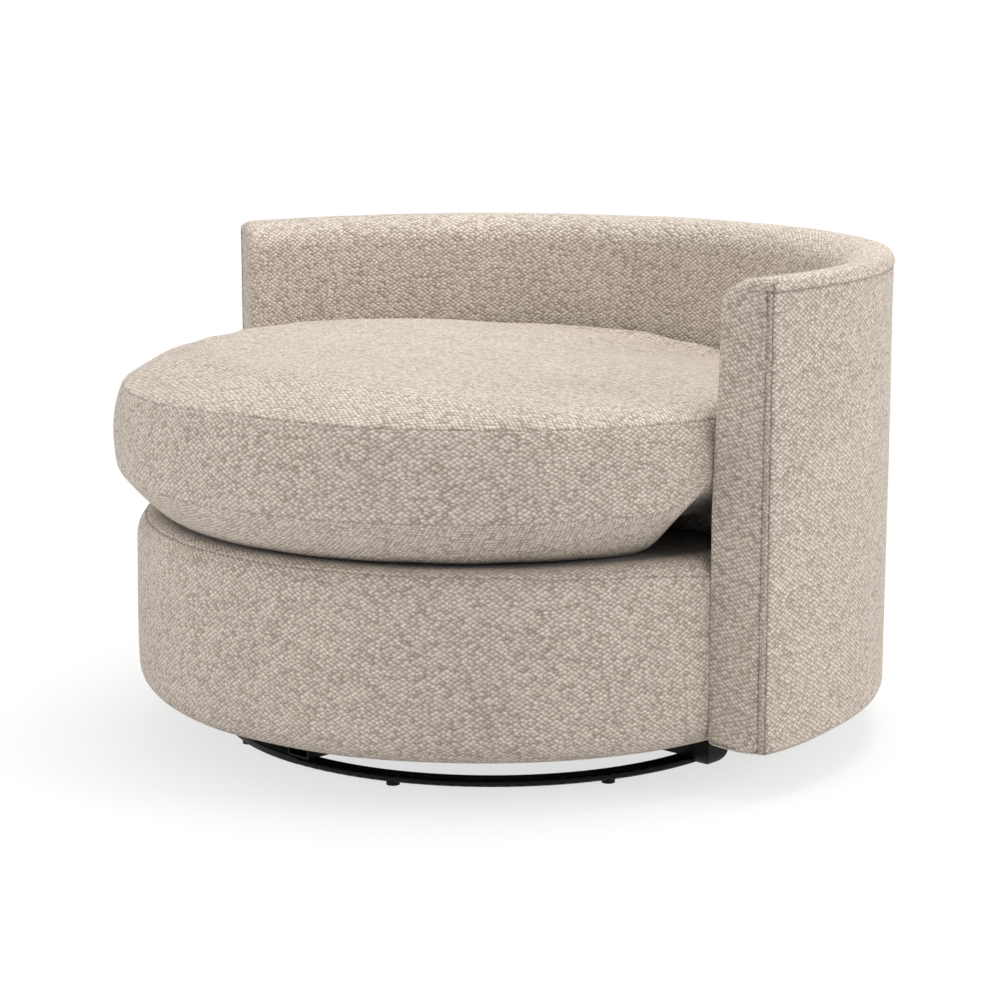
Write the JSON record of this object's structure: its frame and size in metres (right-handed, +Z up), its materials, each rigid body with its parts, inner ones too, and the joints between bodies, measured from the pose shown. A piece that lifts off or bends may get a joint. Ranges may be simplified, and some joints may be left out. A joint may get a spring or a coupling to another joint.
{
  "type": "swivel lounge chair",
  "caption": "Round upholstered swivel lounge chair: half-round back and arms, thick round seat cushion, low black ring base.",
  "frame": {"origin": "on the floor at the swivel axis, which stands within 7 mm of the middle of the footprint", "axes": "+Z up along the swivel axis; -Y is the open front of the seat, +Y the back; +X is the sitter's left arm"},
  "size_m": [1.1, 1.0872, 0.67],
  "materials": {
    "oatmeal_weave": "chunky two-tone basket weave, matt",
    "foam": "open-cell upholstery foam",
    "webbing": "woven elastic webbing",
    "dust_cloth": "black spun dust cloth",
    "plywood": "raw bent plywood",
    "beech": "planed hardwood",
    "black_steel": "satin black powder coat",
    "black_nylon": "matt black nylon",
    "plated_steel": "zinc plated pressed steel",
    "bright_steel": "bright zinc"
  },
  "bodies": {
    "base": {"floor_ring": "black_steel", "glides": "black_nylon", "cross_bar": "black_steel", "side_bars": "black_steel", "bar_caps": "black_nylon", "lower_swivel_plate": "plated_steel", "lower_race": "plated_steel", "bearing_balls": "bright_steel", "king_pin": "bright_steel", "pin_washer": "bright_steel", "pin_nut": "bright_steel", "base_bolts": "bright_steel"},
    "seat": {"upper_race": "plated_steel", "upper_swivel_plate": "plated_steel", "seat_bolts": "bright_steel", "base_board": "plywood", "drum_wall": "plywood", "drum_rim": "plywood", "frame_posts": "beech", "long_straps": "webbing", "cross_straps": "webbing", "deck_pad": "foam", "drum_foam": "foam", "drum_cover": "oatmeal_weave", "dust_cloth": "dust_cloth", "shell_inner_skin": "plywood", "shell_outer_skin": "plywood", "shell_bottom_rail": "plywood", "shell_top_rail": "plywood", "shell_ribs": "beech", "shell_foam": "foam", "shell_cover": "oatmeal_weave", "joint_bolts": "bright_steel"},
    "cushion": {"cushion_foam": "foam", "cushion_cover": "oatmeal_weave"}
  },
  "joints": [
    {"name": "swivel", "type": "hinge", "parent": "base", "child": "seat", "pos_m": [0, 0, 0.05], "axis": [0, 0, 1], "continuous": true},
    {"name": "cushion_lift", "type": "slide", "parent": "seat", "child": "cushion", "axis": [0, 0, 1], "range_m": [0, 0.25]}
  ]
}
